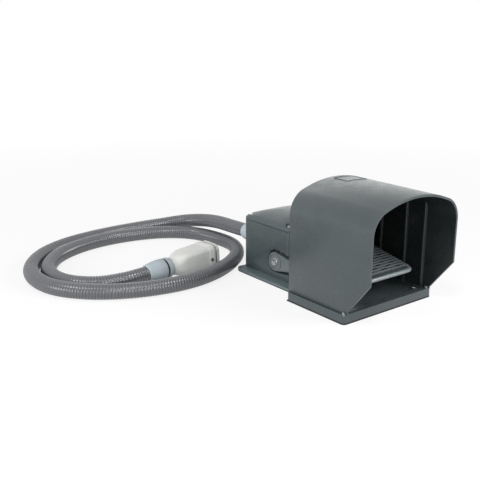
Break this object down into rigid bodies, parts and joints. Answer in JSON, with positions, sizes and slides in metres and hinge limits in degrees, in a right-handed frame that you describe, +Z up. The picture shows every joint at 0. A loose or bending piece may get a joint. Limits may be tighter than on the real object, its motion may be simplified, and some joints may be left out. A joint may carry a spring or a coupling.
{
  "type": "guarded foot switch",
  "caption": "Industrial foot switch with an arched guard over its hinged pedal, a boxed switch housing and a ribbed conduit that ends in a rectangular plug connector.",
  "frame": {"origin": "middle of the floor rectangle under the switch itself, without its gland and conduit, on the floor; this is also the back edge of the hood", "axes": "+Z up, +Y from the hood's opening towards the switch housing, +X to the right as the operator faces the switch from the opening side looking along +Y"},
  "size_m": [0.3954, 0.5357, 0.154],
  "materials": {
    "hood_paint": "satin powder coat",
    "body_paint": "satin powder coat",
    "lid_paint": "satin powder coat",
    "pedal_paint": "satin powder coat",
    "plate_paint": "satin powder coat",
    "rubber_black": "matt",
    "zinc_steel": "bright zinc",
    "peg_steel": "bright",
    "shaft_steel": "ground",
    "spring_steel": "drawn wire",
    "bronze": "sintered",
    "contact_metal": "bright",
    "black_plastic": "moulded",
    "red_plastic": "moulded",
    "wire_plastic": "extruded",
    "fitting_plastic": "moulded",
    "conduit_plastic": "extruded, spiral ribbed",
    "connector_plastic": "moulded"
  },
  "bodies": {
    "frame": {"base_plate": "plate_paint", "rubber_mat": "rubber_black", "tray": "body_paint", "tray_screws": "zinc_steel", "hood": "hood_paint", "hood_screws": "zinc_steel", "housing_body": "body_paint", "housing_screws": "zinc_steel", "housing_lid": "lid_paint", "lid_gasket": "rubber_black", "lid_screws": "zinc_steel", "bush_left": "bronze", "bush_right": "bronze", "shaft_seals": "rubber_black", "stop_screws": "zinc_steel", "earth_screw": "zinc_steel", "return_spring": "spring_steel", "spring_seat": "shaft_steel", "block_bracket": "zinc_steel", "bracket_screws": "zinc_steel", "contact_block_left": "black_plastic", "contact_block_right": "black_plastic", "fixed_contacts_left": "contact_metal", "fixed_contacts_right": "contact_metal", "plunger_spring_left": "spring_steel", "plunger_spring_right": "spring_steel", "terminal_screws": "zinc_steel", "wires": "wire_plastic", "gland_body": "fitting_plastic", "gland_seal": "rubber_black", "gland_locknut": "fitting_plastic", "gland_nut": "fitting_plastic", "conduit": "conduit_plastic", "connector_nut": "fitting_plastic", "connector_oring": "rubber_black", "connector_adaptor": "fitting_plastic", "connector_hood": "connector_plastic", "connector_gasket": "rubber_black", "connector_collar": "connector_plastic", "connector_insert": "black_plastic", "connector_sockets": "contact_metal", "connector_pegs": "peg_steel"},
    "pedal": {"pedal": "pedal_paint", "pivot_shaft": "shaft_steel", "cam_lever": "shaft_steel", "cam_screw": "zinc_steel", "arm_screws": "zinc_steel", "arm_washers": "zinc_steel"},
    "spring_cup": {"spring_cup": "shaft_steel"},
    "plunger_left": {"plunger_left": "red_plastic", "bridge_left": "contact_metal"},
    "plunger_right": {"plunger_right": "red_plastic", "bridge_right": "contact_metal"}
  },
  "joints": [
    {"name": "pedal_press", "type": "hinge", "parent": "frame", "child": "pedal", "pos_m": [0, 0.07, 0.0273], "axis": [1, 0, 0], "range_deg": [0, 8], "stiffness_Nm_per_rad": 8, "springref_deg": -14.32},
    {"name": "spring_cup_press", "type": "slide", "parent": "frame", "child": "spring_cup", "axis": [0, 0, -1], "range_m": [0, 0.0027], "deforming": ["return_spring"]},
    {"name": "plunger_left_press", "type": "slide", "parent": "frame", "child": "plunger_left", "axis": [0, 0, 1], "range_m": [0, 0.0033], "deforming": ["plunger_spring_left"]},
    {"name": "plunger_right_press", "type": "slide", "parent": "frame", "child": "plunger_right", "axis": [0, 0, 1], "range_m": [0, 0.0033], "deforming": ["plunger_spring_right"]}
  ],
  "couplings": [
    {"joint": "spring_cup_press", "follows": "pedal_press", "m_per_rad": 0.018},
    {"joint": "plunger_left_press", "follows": "pedal_press", "m_per_rad": 0.022},
    {"joint": "plunger_right_press", "follows": "pedal_press", "m_per_rad": 0.022}
  ]
}
